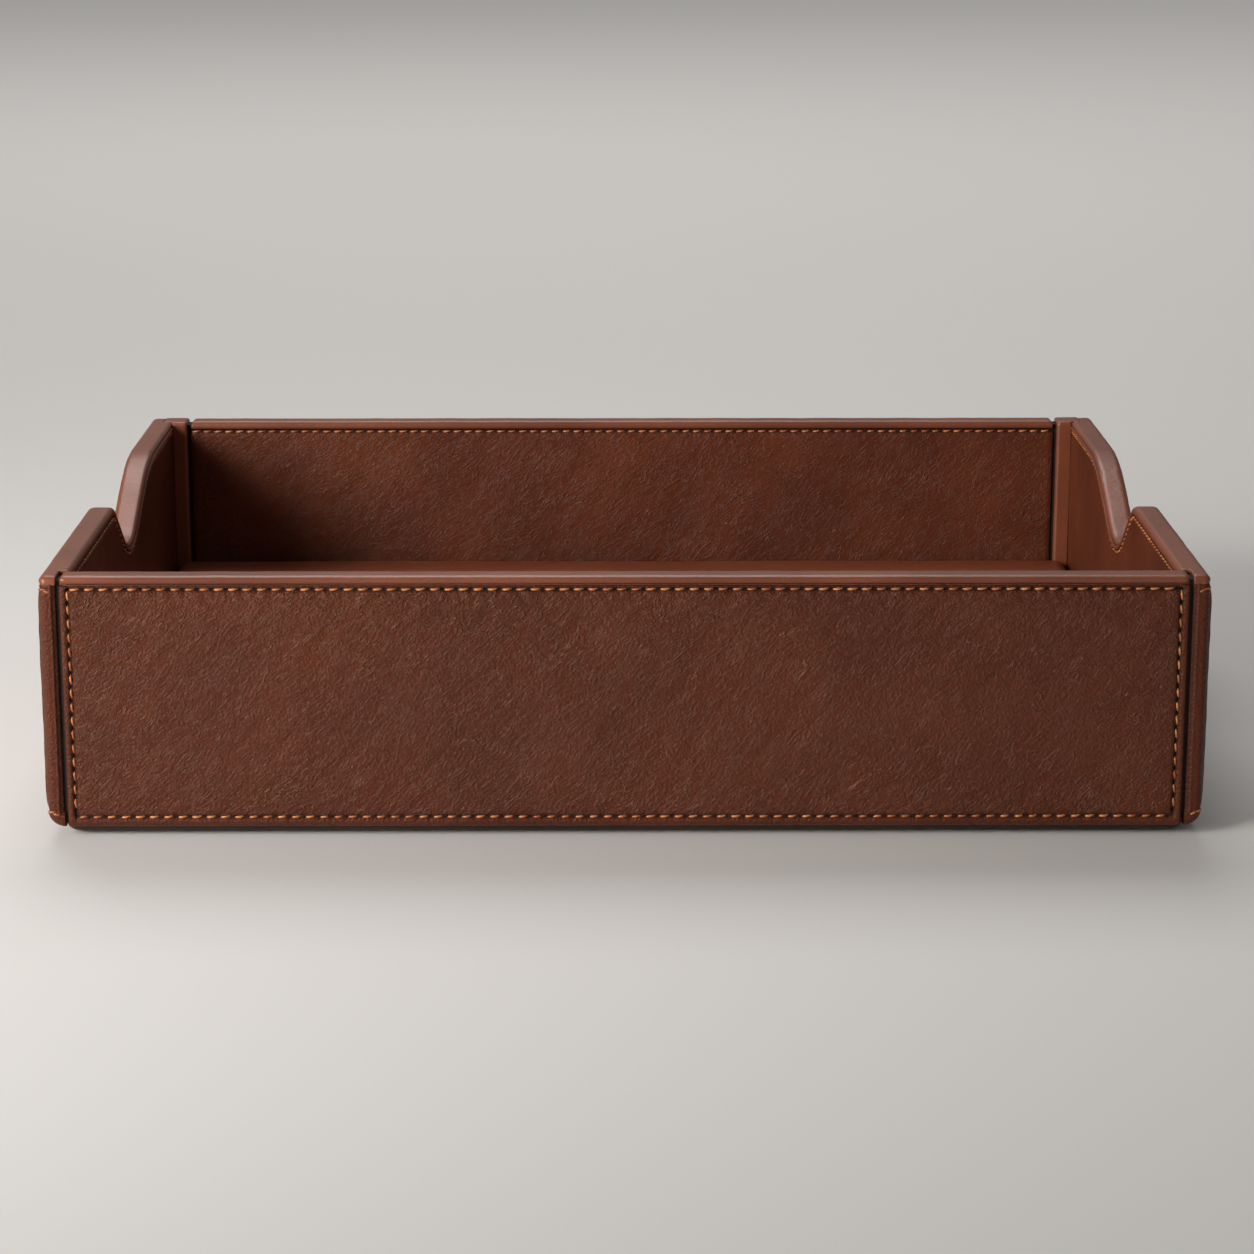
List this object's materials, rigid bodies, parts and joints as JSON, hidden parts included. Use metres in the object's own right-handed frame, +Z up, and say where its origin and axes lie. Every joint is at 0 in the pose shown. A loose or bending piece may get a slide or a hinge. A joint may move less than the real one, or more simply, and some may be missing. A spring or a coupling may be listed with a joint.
{
  "type": "amenity tray",
  "caption": "Open rectangular leather-wrapped tray with stitched panels, a finger scoop in each side wall and a raised padded floor.",
  "frame": {"origin": "centre of the underside, on the surface the tray stands on", "axes": "+X to the right along the long front wall, +Y from the front wall to the back wall, +Z up"},
  "size_m": [0.33, 0.244, 0.077],
  "materials": {
    "panel_leather": "semi-gloss full-grain leather, fine pebble grain with soft creases",
    "rim_leather": "smooth pressed leather with a soft sheen",
    "lining_leather": "smooth lining leather",
    "floor_leather": "smooth leather over thin foam",
    "thread": "waxed twisted thread",
    "fibreboard": "raw fibreboard",
    "batten_wood": "planed softwood",
    "foam": "thin foam sheet",
    "felt": "black felt",
    "pin_steel": "plain steel wire"
  },
  "bodies": {
    "root": {"base_felt": "felt", "base_cover": "rim_leather", "base_board": "fibreboard", "front_batten": "batten_wood", "back_batten": "batten_wood", "left_batten": "batten_wood", "right_batten": "batten_wood", "front_wall_board": "fibreboard", "back_wall_board": "fibreboard", "left_wall_board": "fibreboard", "right_wall_board": "fibreboard", "corner_pins": "pin_steel", "front_outer_cover": "panel_leather", "back_outer_cover": "panel_leather", "left_outer_cover": "panel_leather", "right_outer_cover": "panel_leather", "front_rim_binding": "rim_leather", "back_rim_binding": "rim_leather", "left_rim_binding": "rim_leather", "right_rim_binding": "rim_leather", "front_lining": "lining_leather", "back_lining": "lining_leather", "left_lining": "lining_leather", "right_lining": "lining_leather", "left_corner_strap": "rim_leather", "right_corner_strap": "rim_leather", "floor_board": "fibreboard", "floor_foam": "foam", "floor_cover": "floor_leather"}
  },
  "joints": []
}
